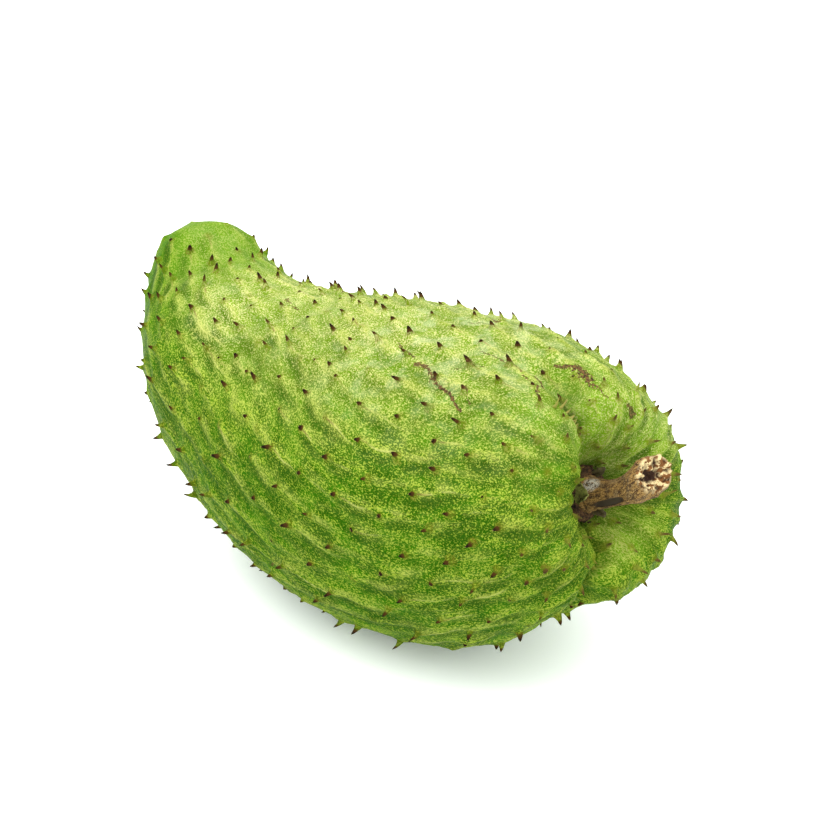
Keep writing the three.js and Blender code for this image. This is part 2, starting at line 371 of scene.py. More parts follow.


# painted light: the skin is painted paler where it faces the light from above, and on its upper side round
# the stem
paintedLit = {
    "from": (0.27, 0.05, 0.96),
    "roundStem": (48, 110),
    "roundStemShare": 0.97,
}


# the share of painted light at each place, from 0 in painted shade to 1 fully lit
def paintedLightShare(out, along, turn):
    upper = smoothStep(np.sin(turn) + 0.5 * np.cos(turn), -0.3, 0.9)
    aroundStem = (1 - smoothStep(along, *paintedLit["roundStem"])) * upper
    overhead = smoothStep(out @ np.array(paintedLit["from"]), 0.0, 1.0)
    overhead = overhead * (0.87 + 0.13 * smoothStep(along, 60, 160))
    return np.maximum(overhead, paintedLit["roundStemShare"] * aroundStem)


# how fine the mesh is, then the heights and sizes of the lumps, the wrinkles and the ribs round the stem
skin = {
    "segments": 300,
    "rings": 226,
    "lumps": 0.75,
    "lumpSizes": (38, 15),
    "wrinkles": 0.5,
    "wrinkleSize": 8.5,
    "ribs": 1.3,
    "ribSize": 6.5,
    "calmNose": 0.7,
}


def foldsAlong(flow, size, seed, squeeze):
    # long folds that follow the growth, 1 on their crests and 0 between them
    return np.clip(1 - np.abs(noiseAt(flow, size, seed, (1, 1, squeeze))) * 2.6, 0, 1)


def growSkin():
    piece, row, turn = addBall("soursopSkin", skin["segments"], skin["rings"])
    along = row * skinLength
    places, out, toNose, onward = skinFrame(along, turn)
    flow = flowPlace(along, turn)
    mound, ridge, shade, vein = spineRelief(along, turn)
    print("spine relief done")
    onBelly = smoothStep(along, 40, 90) * (1 - 0.6 * smoothStep(along, skinLength - 90, skinLength - 40))
    broad, small = skin["lumpSizes"]
    lumps = skin["lumps"] * (noiseAt(places, broad, 1) + noiseAt(places, small, 2) * 0.35)
    folds = foldsAlong(flow, skin["wrinkleSize"], 3, 0.36) ** 2
    wrinkles = folds * skin["wrinkles"] * (0.4 + 0.6 * onBelly)
    ribs = foldsAlong(flow, skin["ribSize"], 4, 0.12) * skin["ribs"] * smoothStep(along, 6, 16)
    ribs = ribs * (1 - 0.5 * smoothStep(along, 22, 40)) * (1 - smoothStep(along, 45, 90))
    crests = ridge * spines["tailHeight"] * (1 + 0.6 * (1 - smoothStep(along, 40, 80)))
    relief = crests - shade * spines["tailShade"] + wrinkles
    calm = 1 - skin["calmNose"] * smoothStep(along, skinLength - 110, skinLength - 50)
    height = lumps + ribs + mound * spines["moundHeight"] + relief * calm
    offPoles = smoothStep(along, 0, 6) * (1 - smoothStep(along, skinLength - 6, skinLength))
    places = places + out * (height * offPoles)[:, None]
    places[:, 2] = np.maximum(places[:, 2], 0)
    setPlaces(piece, places)
    faceOutwards(piece)
    nothing = np.zeros(len(along))
    marks = {"flow": flow, "vein": vein, "ridge": np.clip(ridge + 0.35 * folds * onBelly, 0, 1.5),
             "shade": shade, "mound": mound, "crease": np.minimum(creaseDepth(along, turn) / 10, 1),
             "sunny": paintedLightShare(out, along, turn), "tip": nothing, "dice": nothing, "pale": nothing}
    for name, values in marks.items():
        addAttribute(piece, name, values)
    return piece


# one spine a millimetre tall
spineShape = {
    # height, radius, and how far it has bent towards the nose
    "rings": [(-0.25, 3.2, 0), (0.0, 2.55, 0), (0.15, 1.85, 0.02), (0.34, 1.3, 0.07), (0.58, 0.86, 0.18),
              (0.84, 0.5, 0.38)],
    "sides": 7,
    "tip": (1.0, 0.54),
    "footDepth": 3.6,  # stretches what lies below the skin
}


def modelSpine():
    # drawn up ring by ring from its foot
    deselectAll()
    rings = spineShape["rings"]
    bpy.ops.mesh.primitive_circle_add(vertices=spineShape["sides"], radius=rings[0][1], fill_type="NGON",
                                      location=(0, 0, rings[0][0]))
    piece = bpy.context.active_object
    bpy.ops.object.transform_apply(location=True, rotation=False, scale=False)
    bpy.ops.object.mode_set(mode="EDIT")
    bpy.ops.mesh.select_all(action="SELECT")
    for before, after in zip(rings, rings[1:]):
        move = (after[2] - before[2], 0, after[0] - before[0])
        bpy.ops.mesh.extrude_region_move(TRANSFORM_OT_translate={"value": move})
        share = after[1] / before[1]
        bpy.ops.transform.resize(value=(share, share, 1), center_override=(after[2], 0, after[0]))
    move = (spineShape["tip"][1] - rings[-1][2], 0, spineShape["tip"][0] - rings[-1][0])
    bpy.ops.mesh.extrude_region_move(TRANSFORM_OT_translate={"value": move})
    bpy.ops.mesh.merge(type="CENTER")
    bpy.ops.object.mode_set(mode="OBJECT")
    faceOutwards(piece)
    bpy.ops.object.shade_smooth()
    return piece


def plantSpines(pattern, sites):
    # each site: along, turn, height, foot width, hook, heading, dice, pale
    shape = readPlaces(pattern)
    heights = [ring[0] for ring in spineShape["rings"]] + [spineShape["tip"][0]]
    bends = [ring[2] for ring in spineShape["rings"]] + [spineShape["tip"][1]]
    bend = np.interp(shape[:, 2], heights, bends)
    planted = []
    foot, out, toNose, onward = skinFrame(sites[:, 0], sites[:, 1])
    for i, (along, turn, tall, wide, hook, heading, dice, pale) in enumerate(sites):
        copy = pattern.copy()
        copy.data = pattern.data.copy()
        bpy.context.collection.objects.link(copy)
        ahead = (shape[:, 0] - bend) * wide + bend * hook * tall
        aside = shape[:, 1] * wide
        rise = shape[:, 2] * np.where(shape[:, 2] < 0, spineShape["footDepth"], tall)
        noseward = ahead * math.cos(heading) - aside * math.sin(heading)
        sideways = ahead * math.sin(heading) + aside * math.cos(heading)
        places = foot[i] + noseward[:, None] * toNose[i] + sideways[:, None] * onward[i]
        places = places + rise[:, None] * out[i]
        places[:, 2] = np.maximum(places[:, 2], 0.2)  # stays off what the fruit lies on
        setPlaces(copy, places)
        radius = max(skinRadius(np.array([along]))[0], 6)
        addAttribute(copy, "flow", flowPlace(along + noseward, turn + sideways / radius))
        addAttribute(copy, "vein", np.tile(noVein, (len(shape), 1)))
        addAttribute(copy, "tip", np.clip(shape[:, 2], 0, 1))
        marks = {"ridge": 0.3, "shade": 0, "mound": 1, "crease": 0, "sunny": paintedLightShare(out[i], along, turn),
                 "dice": dice, "pale": pale}
        for name, value in marks.items():
            addAttribute(copy, name, np.full(len(shape), float(value)))
        planted.append(copy)
    return planted


def spinePlan():
    index, along, turn = siteIndex, siteAlong, siteTurn
    nearStem = 1 - smoothStep(along, 30, 75)
    nearNose = smoothStep(along, skinLength - 110, skinLength - 50)
    onBelly = (1 - nearNose) * (1 - nearStem)
    blunt = (scatter(index, 7) < 0.35 * onBelly).astype(float)
    tall = spines["height"] * (1 + spines["heightSpread"] * (2 * scatter(index, 3) - 1))
    tall = tall * (1 - 0.5 * blunt) * (1 + 0.1 * nearStem) * (1 - 0.1 * nearNose)
    tall = np.where(along > skinLength - spines["smoothTip"], 0.4 * tall, tall)
    wide = (1 + 0.3 * (scatter(index, 8) - 0.5)) * (1 - 0.25 * nearStem)
    wide = wide * (1 - 0.1 * nearNose) * (1 - 0.05 * onBelly)
    hook = 0.5 + 0.9 * scatter(index, 9) - 0.4 * blunt + 0.6 * nearStem
    heading = (scatter(index, 10) - 0.5) * 1.3
    return np.stack([along, turn, tall, wide, hook, heading, scatter(index, 11), 0.2 * nearStem], -1)


# thin hooked hairs on the lip of the upper crease
creaseHairs = {
    "along": (12, 62),
    "turn": (101, 108.5),
    "count": 26,
    "height": (2.8, 4.4),
    "width": (0.34, 0.48),
    "hook": (0.9, 2.2),
    "heading": -1.2,
    "pale": (0.5, 0.95),
}


def hairPlan():
    index = np.arange(creaseHairs["count"]) + 0.5
    along = partWay(creaseHairs["along"], index / creaseHairs["count"]) + 3 * (scatter(index, 21) - 0.5)
    turn = partWay(np.radians(creaseHairs["turn"]), scatter(index, 22))
    tall = partWay(creaseHairs["height"], scatter(index, 23))
    wide = partWay(creaseHairs["width"], scatter(index, 24))
    hook = partWay(creaseHairs["hook"], scatter(index, 25))
    heading = creaseHairs["heading"] + 0.8 * (scatter(index, 26) - 0.5)
    pale = partWay(creaseHairs["pale"], scatter(index, 28))
    return np.stack([along, turn, tall, wide, hook, heading, scatter(index, 27), pale], -1)


class Wire:
    # a socket that can be used in sums
    def __init__(self, shop, socket):
        self.shop = shop
        self.socket = socket

    def sum(self, operation, other, swap=False):
        values = (other, self) if swap else (self, other)
        return self.shop.node("ShaderNodeMath", {"operation": operation}, {0: values[0], 1: values[1]})

    def __add__(self, other):
        return self.sum("ADD", other)

    def __radd__(self, other):
        return self.sum("ADD", other)

    def __sub__(self, other):
        return self.sum("SUBTRACT", other)

    def __rsub__(self, other):
        return self.sum("SUBTRACT", other, True)

    def __mul__(self, other):
        return self.sum("MULTIPLY", other)

    def __rmul__(self, other):
        return self.sum("MULTIPLY", other)

    def __truediv__(self, other):
        return self.sum("DIVIDE", other)

    def __pow__(self, other):
        return self.sum("POWER", other)

    def most(self, other):
        return self.sum("MAXIMUM", other)

    def clip(self):
        return self.most(0.0).sum("MINIMUM", 1.0)

    def step(self, low, high):
        # 0 below low, 1 above high, smooth between
        return self.shop.node("ShaderNodeMapRange", {"interpolation_type": "SMOOTHSTEP"},
                              {"Value": self, "From Min": low, "From Max": high})

    def between(self, low, high):
        return self * (high - low) + low


class Shop:
    # one material and the nodes that are added to it
    def __init__(self, name, gloss):
        self.material = bpy.data.materials.new(name)
        self.material.use_nodes = True
        self.tree = self.material.node_tree
        self.tree.nodes.clear()
        self.shader = self.tree.nodes.new("ShaderNodeBsdfPrincipled")
        output = self.tree.nodes.new("ShaderNodeOutputMaterial")
        self.tree.links.new(self.shader.outputs[0], output.inputs["Surface"])
        for socket, value in gloss.items():
            self.shader.inputs[socket].default_value = value

    def plug(self, socket, value):
        if isinstance(value, Wire):
            self.tree.links.new(value.socket, socket)
        elif isinstance(value, tuple) and socket.type == "RGBA" and len(value) == 3:
            socket.default_value = (*value, 1)
        else:
            socket.default_value = value

    def node(self, kind, settings=None, sockets=None, output=0):
        made = self.tree.nodes.new(kind)
        for name, value in (settings or {}).items():
            setattr(made, name, value)
        for name, value in (sockets or {}).items():
            self.plug(made.inputs[name], value)
        return Wire(self, made.outputs[output])

    def attribute(self, name, output="Fac"):
        return self.node("ShaderNodeAttribute", {"attribute_name": name}, output=output)

    def place(self):
        # object coordinates in millimetres
        here = self.node("ShaderNodeTexCoord", output="Object")
        return self.vector("SCALE", here, scale=1000)

    def vector(self, operation, a, b=None, scale=None, output="Vector"):
        sockets = {0: a}
        if b is not None:
            sockets[1] = b
        if scale is not None:
            sockets["Scale"] = scale
        return self.node("ShaderNodeVectorMath", {"operation": operation}, sockets, output)

    def split(self, vector):
        first = self.node("ShaderNodeSeparateXYZ", None, {0: vector})
        return [Wire(self, output) for output in first.socket.node.outputs]

    def noise(self, where, size, detail=2, rough=0.5, distort=0.0, squeeze=None):
        if squeeze:
            where = self.vector("MULTIPLY", where, squeeze)
        sockets = {"Vector": where, "Scale": 1 / size, "Detail": detail, "Roughness": rough,
                   "Distortion": distort}
        return self.node("ShaderNodeTexNoise", {"noise_dimensions": "3D"}, sockets)

    def mix(self, amount, a, b):
        made = self.tree.nodes.new("ShaderNodeMix")
        made.data_type = "RGBA"
        self.plug(made.inputs[0], amount)
        self.plug(made.inputs[6], a)
        self.plug(made.inputs[7], b)
        return Wire(self, made.outputs[2])

    def bump(self, height, strength, distance):
        sockets = {"Height": height, "Strength": strength, "Distance": distance * mm}
        return self.node("ShaderNodeBump", None, sockets, "Normal")

    def paint(self, color, rough, normal):
        self.plug(self.shader.inputs["Base Color"], color)
        self.plug(self.shader.inputs["Roughness"], rough)
        self.plug(self.shader.inputs["Normal"], normal)

    def give(self, piece):
        piece.data.materials.clear()
        piece.data.materials.append(self.material)


def rgb(red, green, blue):
    # a colour as seen on a screen, 0 to 255, made linear
    shares = [c / 255 for c in (red, green, blue)]
    return tuple(c / 12.92 if c <= 0.04045 else ((c + 0.055) / 1.055) ** 2.4 for c in shares)


skinColours = {
    "deep": rgb(26, 68, 0),
    "green": rgb(42, 95, 0),
    # painted light: the next two are the lit tones of the skin
    "paintedLit": rgb(122, 149, 36),
    "paintedLitLime": rgb(136, 178, 36),
    "fleck": rgb(142, 160, 50),
    # painted light: the lit tone of the flecks
    "paintedLitFleck": rgb(192, 188, 130),
    "ridge": rgb(156, 162, 78),
    "crest": rgb(176, 178, 100),
    "speck": rgb(66, 66, 6),
    # painted shade, for the grooves and the creases
    "hollow": rgb(44, 72, 14),
    "smooth": rgb(52, 106, 0),
    "nose": rgb(60, 112, 6),
    # a painted sheen
    "paintedSheen": rgb(182, 192, 154),
    # the darker tone down in the cavity
    "cavityDark": rgb(60, 62, 32),
    "olive": rgb(90, 102, 18),
    "rust": rgb(92, 62, 22),
    "brown": rgb(60, 40, 16),
    "black": rgb(26, 17, 12),
    "tan": rgb(142, 134, 72),
    "scar": rgb(100, 72, 46),
    "scarDark": rgb(50, 38, 28),
}

scars = [
    # along and turn of both ends, half width, how strong
    # the long scratch on the upper belly
    ((141, 104), (133, 108), 0.35, 0.8), ((133, 108), (127, 109), 0.55, 0.9),
    ((124, 111), (117, 112), 1.0, 0.9), ((117, 112), (111, 117), 0.9, 0.9),
    ((111, 117), (102, 119), 0.6, 0.95), ((102, 119), (92, 126), 0.55, 0.95),
    # finer ones beside it and further back
    ((108, 110), (96, 104), 0.25, 0.6), ((96, 115), (90, 122), 0.3, 0.7), ((141, 65), (134, 66), 0.5, 0.8),
    ((134, 66), (122, 72), 0.6, 0.8), ((130, 80), (119, 76), 0.35, 0.6),
    # streaks that lead to the upper crease
    ((104, 97), (94, 96), 0.35, 0.7), ((94, 96), (84, 97), 0.45, 0.8), ((80, 94), (77, 95), 0.5, 0.9),
    ((77, 95), (72, 101), 0.45, 1.0), ((82, 99), (74, 102), 0.35, 0.8), ((74, 102), (70, 108), 0.7, 0.9),
    # blotches on the back lobe
    ((77, 84), (72, 81), 0.8, 0.9), ((71, 80), (64, 80), 1.9, 0.95), ((63, 82), (57, 79), 0.8, 0.9),
    ((57, 79), (52, 77), 0.4, 0.8), ((48, 64), (44, 58), 1.2, 0.85),
    # small nicks elsewhere
    ((235, 92), (230, 94), 0.6, 0.8), ((226, 96), (222, 97), 0.6, 0.8), ((150, 20), (164, 14), 0.4, 0.8),
    ((118, -62), (130, -55), 0.5, 0.8), ((208, -14), (222, -18), 0.3, 0.7), ((92, 28), (99, 24), 0.9, 0.8),
    ((250, 38), (258, 33), 0.4, 0.7), ((168, 198), (176, 202), 0.5, 0.7),
]


def scarMask(shop, here):
    # each scar is a stroke along the skin that wanders, swells and thins out
    wander = shop.noise(here, 3.5, 3, 0.6).between(-1.8, 1.8)
    swell = shop.noise(here, 1.2, 3, 0.7).step(0.38, 0.62).between(0.25, 1.35)
    total = None
    for start, end, width, strength in scars:
        ends = np.array([start, end], float)
        places, out = skinFrame(ends[:, 0], np.radians(ends[:, 1]))[:2]
        along = places[1] - places[0]
        length = np.linalg.norm(along)
        outward = unit(out.sum(0))
        aside = np.cross(outward, along) / length
        fromStart = shop.vector("SUBTRACT", here, tuple(places[0]))
        share, offset, above = [shop.vector("DOT_PRODUCT", fromStart, tuple(way), output="Value")
                                for way in (along / length ** 2, aside, outward)]
        beyond = (share - share.clip()) * length
        offset = offset + wander
        gap = (beyond * beyond + offset * offset) ** 0.5
        mask = (1 - (gap - swell * width).step(-0.15, 0.15)) * (1 - (above * above).step(20, 40)) * strength
        total = mask if total is None else total.most(mask)
    return total


def skinReadings(shop):
    # what the mesh says at each place, and the patterns that several colours share
    marks = ("ridge", "shade", "mound", "crease", "sunny", "tip", "dice", "pale")
    at = SimpleNamespace(**{name: shop.attribute(name) for name in marks})
    at.here, at.flow = shop.place(), shop.attribute("flow", "Vector")
    at.along = shop.split(at.flow)[2]
    at.nearStem = 1 - at.along.step(30, 95)
    at.nearNose = at.along.step(skinLength - 95, skinLength - 30)
    # where the painted light is strongest, for the painted sheen and the paler flecks
    at.brightest = at.sunny ** 5.0 * (1 - at.nearNose * 0.6) * (1 - at.nearStem * 0.4)
    at.grain = shop.noise(at.here, 0.7, 2)
    at.specks = shop.noise(at.here, 0.6, 1, 0.6)
    at.blotches = shop.noise(at.flow, 7, 2, 0.6, squeeze=(1, 1, 0.45))
    at.streaks = shop.noise(at.flow, 2.6, 3, 0.6, squeeze=(1, 1, 0.13))
    patches = shop.noise(at.here, 24, 2, 0.55)
    cover = patches.step(0.36, 0.64) * 0.3 + at.blotches.step(0.38, 0.64) * 0.35
    cover = cover + at.ridge * 0.55 - at.shade * 0.6 + 0.08
    at.cover = (cover - (1 - at.along.step(12, 26)) * 0.3).clip()
    worms = shop.noise(at.flow, 0.48, 2, 0.6, 0.7, squeeze=(1, 1, 0.6))
    at.fleck = ((worms - (0.545 - at.cover * 0.09)) / 0.09).clip()
    return at


def greenGround(shop, at):
    color = shop.mix(at.blotches.step(0.35, 0.68), skinColours["deep"], skinColours["green"])
    color = shop.mix(shop.noise(at.here, 16, 1).step(0.5, 0.7) * 0.4, color, skinColours["smooth"])
    color = shop.mix(at.nearNose * 0.7, color, skinColours["nose"])
    # painted light: paler, yellower tones laid on where the painted light falls
    lit = at.sunny ** 3.5 * (1 - at.nearNose * 0.5)
    paintedLitTone = shop.mix(at.nearStem * 0.7, skinColours["paintedLit"], skinColours["paintedLitLime"])
    color = shop.mix(lit * (0.5 + at.cover * 0.35), color, paintedLitTone)
    # painted shade in the groove below each tail's ridge
    return shop.mix((at.shade * at.grain.between(0.8, 1.8)).clip() * 0.8, color, skinColours["hollow"])


def addFlecks(shop, at, color):
    dark = at.specks.step(0.55, 0.66) * (0.35 + at.ridge * 0.3) * (1 - at.nearNose * 0.7)
    color = shop.mix(dark, color, skinColours["speck"])
    # painted highlight: flecks turn paler and whiter where the painted light is strongest
    speckle = shop.mix(at.brightest, skinColours["fleck"], skinColours["paintedLitFleck"])
    color = shop.mix(at.fleck * at.cover.between(0.75, 1.0) * (1 - at.nearNose * 0.45), color, speckle)
    ridgeTone = shop.mix(at.nearStem, skinColours["ridge"], skinColours["olive"])
    onRidge = (at.ridge * at.streaks.step(0.38, 0.6)).clip() * (0.62 - at.nearStem * 0.2)
    return shop.mix(onRidge * at.fleck.between(0.45, 1.1), color, ridgeTone)


def addLinesAndPaintedSheen(shop, at, color):
    # fine lines that run together towards the cavity, and a pale painted sheen where the painted light is
    # strongest
    lines = shop.noise(at.flow, 1.0, 2, 0.6, squeeze=(1, 1, 0.05))
    color = shop.mix(at.nearStem * lines.step(0.52, 0.66) * 0.15, color, skinColours["ridge"])
    color = shop.mix(at.nearStem * (1 - lines).step(0.54, 0.68) * 0.25, color, skinColours["deep"])
    paintedSheen = at.brightest * shop.noise(at.here, 9, 2, 0.6).step(0.45, 0.68) * (1 - at.nearStem)
    paintedSheen = paintedSheen * (1 - at.along.step(130, 190) * 0.75) * at.grain.between(0.0, 0.7)
    color = shop.mix(paintedSheen, color, skinColours["paintedSheen"])
    # a thin line down the middle of each tail, brown close to its spine
    offset, reach, behind = shop.split(shop.attribute("vein", "Vector"))
    line = (1 - (offset * offset).step(0.02, 0.2)) * reach * at.streaks.step(0.35, 0.6)
    at.line = (line * (1 - at.nearStem)).clip()
    lineTone = shop.mix(behind.step(2, 8), skinColours["scar"], skinColours["crest"])
    color = shop.mix(at.line * 0.6, color, lineTone)
    # painted shade: darker away from the painted light and in the creases; darker too down in the cavity
    color = shop.mix((1 - at.sunny).step(0.5, 1.0) * 0.2, color, skinColours["deep"])
    inCrease = at.crease.step(0.45, 0.95) * at.grain.between(0.3, 0.9) * at.nearStem
    color = shop.mix(inCrease, color, skinColours["hollow"])
    return shop.mix((1 - at.along.step(9, 20)) * 0.75, color, skinColours["cavityDark"])


def addSpineTones(shop, at, color):
    # olive foot, brown neck, black point
    color = shop.mix(at.mound.step(0.4, 1.0) * (0.3 + at.nearStem * 0.4), color, skinColours["olive"])
    rusty = at.mound.step(0.3, 0.9) * at.grain.step(0.4, 0.6) * at.dice.most(at.specks) * 0.45
    color = shop.mix(rusty, color, skinColours["rust"])
    darkness = at.tip + at.grain.between(-0.12, 0.12) + at.dice * 0.28 - 0.1 - at.nearStem * 0.15
    onSpine = at.tip.step(0.02, 0.12)
    color = shop.mix(darkness.step(0.52, 0.74) * onSpine, color, skinColours["brown"])
    color = shop.mix(darkness.step(0.78, 1.0) * onSpine, color, skinColours["black"])
    color = shop.mix(at.tip.step(0.9, 0.97) * at.dice.step(0.6, 0.75) * 0.8, color, skinColours["tan"])
    return shop.mix(at.pale * at.tip.step(0.05, 0.3), color, skinColours["tan"])


def skinFinish():
    shop = Shop("speckledSkin", {"IOR": 1.45, "Specular IOR Level": 0.01})
    at = skinReadings(shop)
    color = addFlecks(shop, at, greenGround(shop, at))
    color = addSpineTones(shop, at, addLinesAndPaintedSheen(shop, at, color))
    scar = scarMask(shop, at.here)
    scarTone = shop.mix(at.grain.step(0.4, 0.6), skinColours["scarDark"], skinColours["scar"])
    color = shop.mix(scar, color, scarTone)
    fine = shop.noise(at.here, 0.5, 2)
    height = at.fleck * 0.4 + fine * 0.35 + at.streaks * 0.8 + at.line * 0.5 + scar * 0.3
    rough = 0.44 - at.fleck * 0.06 + fine * 0.1 + scar * 0.2 + at.tip * 0.15
    shop.paint(color, rough, shop.bump(height, 0.6, 0.35))
    return shop


collar = {
    # rise above the cavity floor, radius
    "profile": [(-1.5, 0), (-1.5, 6), (-0.6, 8.6), (1.2, 9.7), (2.6, 9.3), (3.5, 8.0), (3.7, 5.0), (3.7, 0)],
    "clearance": 0.3,
    "height": 3.4,
    "segments": 80,
    "rings": 46,
    "lumps": 1.0,
    "crumbs": 90,
    # from the top of the collar to just below the cavity floor
    "crumbDepth": (-3.6, 0.8),
    "crumbRadius": (6.6, 10.0),
    "crumbSize": (0.3, 0.85),
}

cavityFloor = body["cavityFloor"] - collar["clearance"]
collarTop = cavityFloor - collar["height"]


def corkCrumb(i):
    deselectAll()
    bpy.ops.mesh.primitive_ico_sphere_add(subdivisions=1, radius=1)
    crumb = bpy.context.active_object
    bpy.ops.object.shade_smooth()
    turn = np.array([2 * math.pi * scatter(i, 31)])
    depth = np.array([partWay(collar["crumbDepth"], scatter(i, 32) ** 2)])
    radius = np.array([partWay(collar["crumbRadius"], scatter(i, 33))])
    middle = besideCore(cavityFloor + depth, turn, radius, radius)[0]
    size = partWay(collar["crumbSize"], scatter(i, 34) ** 2)
    shape = readPlaces(crumb)
    knobbly = 1 + 0.5 * (scatter(np.arange(len(shape)) + i * 7, 35) - 0.5)
    shape = shape * knobbly[:, None] * np.array([1, 0.6 + 0.6 * scatter(i, 36), 0.7])
    setPlaces(crumb, middle + shape * size)
    addAttribute(crumb, "deep", np.full(len(shape), 0.4 + 0.6 * scatter(i, 37)))
    return crumb


def growCollar():
    piece, row, turn = addBall("stemCollar", collar["segments"], collar["rings"])
    curve = curveThrough(collar["profile"])
    rise, radius = np.moveaxis(onCurve(curve, (1 - row) * curve[1][-1]), -1, 0)
    radius = radius * (1 + 0.05 * np.sin(3 * turn + 1) + 0.03 * np.sin(7 * turn))
    setPlaces(piece, besideCore(cavityFloor - rise, turn, radius, radius))
    faceOutwards(piece)
    places = readPlaces(piece) / mm
    height = noiseAt(places, 2.6, 5) * collar["lumps"]
    height += noiseAt(places, 1.1, 6) * 0.45 + noiseAt(places, 0.5, 7) * 0.2
    pushOut(piece, height)
    addAttribute(piece, "deep", height)
    return joinInto(piece, [corkCrumb(i) for i in range(collar["crumbs"])])


corkColours = {
    "dark": rgb(32, 22, 13),
    "light": rgb(80, 56, 32),
    "speck": rgb(128, 104, 72),
    "pit": rgb(12, 8, 5),
}


def corkFinish():
    shop = Shop("crumblyCork", {"IOR": 1.4, "Specular IOR Level": 0.25})
    here = shop.place()
    grit, specks = shop.noise(here, 1.0, 3, 0.65, 0.4), shop.noise(here, 0.4, 2, 0.6)
    color = shop.mix(grit.step(0.36, 0.66), corkColours["dark"], corkColours["light"])
    color = shop.mix(specks.step(0.6, 0.68) * 0.55, color, corkColours["speck"])
    # painted shade: the low places between the collar's lumps are darkened towards black
    color = shop.mix(1 - shop.attribute("deep").step(-0.9, 0.25), color, corkColours["pit"])
    shop.paint(color, 0.95, shop.bump(grit * 0.8 + specks * 0.4, 0.9, 0.5))
    return shop


stem = {
    # rise above the collar, radius; the last few make the torn end
    "profile": [(-0.5, 0), (-0.5, 5.0), (0, 6.3), (4.3, 5.4), (8.6, 4.9), (12.9, 4.85), (17.1, 5.1),
                (21.4, 5.9), (25.7, 6.9), (29.0, 6.7), (30.4, 5.6), (29.6, 4.2), (29.0, 2.4), (29.3, 0)],
    "length": 30,
    "bend": 10,
    "slant": 0.1,
    "slantTurn": 165,
    "endRadius": 6.6,
    "tornWithin": (7.4, 5.6),  # before the end of the profile
    "segments": 84,
    "rings": 170,
    # a long dark patch where the bark is worn away, and a white one near the foot
    "wornPatch": {"rise": 12.8, "half": 6.6, "turn": -154, "spread": 19, "depth": 0.28},
    "whitePatch": {"rise": 4.5, "half": 3.4, "turn": 118, "spread": 34.3775},
}


def onStem(rise, turn, radius):
    up = coreFrame(np.array([0.0]))[3][0]
    share = np.clip(rise, 0, None) / stem["length"]
    lift = stem["bend"] * share ** 2
    slant = stem["slant"] * stem["length"] * np.cos(turn - math.radians(stem["slantTurn"])) * share ** 3
    rise = rise - slant * radius / stem["endRadius"]
    return besideCore(collarTop - rise, turn, radius, radius) + lift[:, None] * up


def barkHeight(bark, rise):
    # long fibres, knobs that grow towards the cut end, and a pinched ring near the foot
    nearEnd = smoothStep(rise, 17, 25)
    height = noiseAt(bark, 1.2, 11, (1, 1, 0.25)) * 0.16 + noiseAt(bark, 0.8, 12) * 0.12
    height += noiseAt(bark, 3.6, 13, (1, 1, 0.7)) * (0.25 + 0.45 * nearEnd)
    height += noiseAt(bark, 1.5, 14) * 0.35 * nearEnd
    return height - 0.35 * np.exp(-((rise - 2.0) / 0.5) ** 2)


def tornHeight(bark, turn, radius):
    # chips of wood with a hole among them, and splinters along the rim
    chips = noiseAt(bark, 1.7, 15) * 1.0 + noiseAt(bark, 0.8, 16) * 0.55
    hole = np.exp(-(((bark[:, 0] + 0.8) / 1.5) ** 2 + ((bark[:, 1] - 0.2) / 1.7) ** 2))
    around = np.stack([np.cos(turn), np.sin(turn), 0 * turn], -1)
    splinters = np.clip(noiseAt(around, 0.33, 17), 0, 1) ** 2 * 3.0
    rim = np.exp(-((radius - 5.6) / 1.0) ** 2)
    return chips - 1.8 * hole + splinters * rim


def growStem():
    piece, row, turn = addBall("cutStem", stem["segments"], stem["rings"])
    curve = curveThrough(stem["profile"])
    whole = curve[1][-1]
    travelled = (1 - row) * whole
    rise, radius = np.moveaxis(onCurve(curve, travelled), -1, 0)
    share = rise / stem["length"]
    torn = smoothStep(travelled, whole - stem["tornWithin"][0], whole - stem["tornWithin"][1])
    knobbly = 1 + (0.04 * np.sin(2 * turn + 5 * share) + 0.03 * np.sin(5 * turn)) * (1 - torn)
    setPlaces(piece, onStem(rise, turn, radius * knobbly))
    faceOutwards(piece)
    bark = np.stack([radius * np.cos(turn), radius * np.sin(turn), rise], -1)
    worn = stem["wornPatch"]
    aside = turnApart(turn, math.radians(worn["turn"])) / math.radians(worn["spread"])
    patch = 1 - smoothStep(np.hypot((rise - worn["rise"]) / worn["half"], aside), 0.85, 1.1)
    height = barkHeight(bark, rise) * (1 - patch) * (1 - torn) - worn["depth"] * patch
    height += torn * tornHeight(bark, turn, radius)
    pushOut(piece, height)
    addAttribute(piece, "bark", bark)
    addAttribute(piece, "torn", torn)
    addAttribute(piece, "deep", height)
    return piece


barkColours = {
    "dark": rgb(56, 36, 14),
    "light": rgb(134, 102, 52),
    "grey": rgb(98, 84, 60),
    "speck": rgb(160, 132, 84),
    "white": rgb(190, 188, 174),
    "pit": rgb(40, 26, 14),
    "wornEdge": rgb(30, 20, 12),
    "worn": rgb(34, 26, 18),
    "wornPale": rgb(52, 42, 28),
    "wood": rgb(112, 72, 34),
    "woodPale": rgb(212, 190, 140),
    "woodPaintedShade": rgb(38, 20, 9),
    "woodSpeck": rgb(70, 44, 22),
}


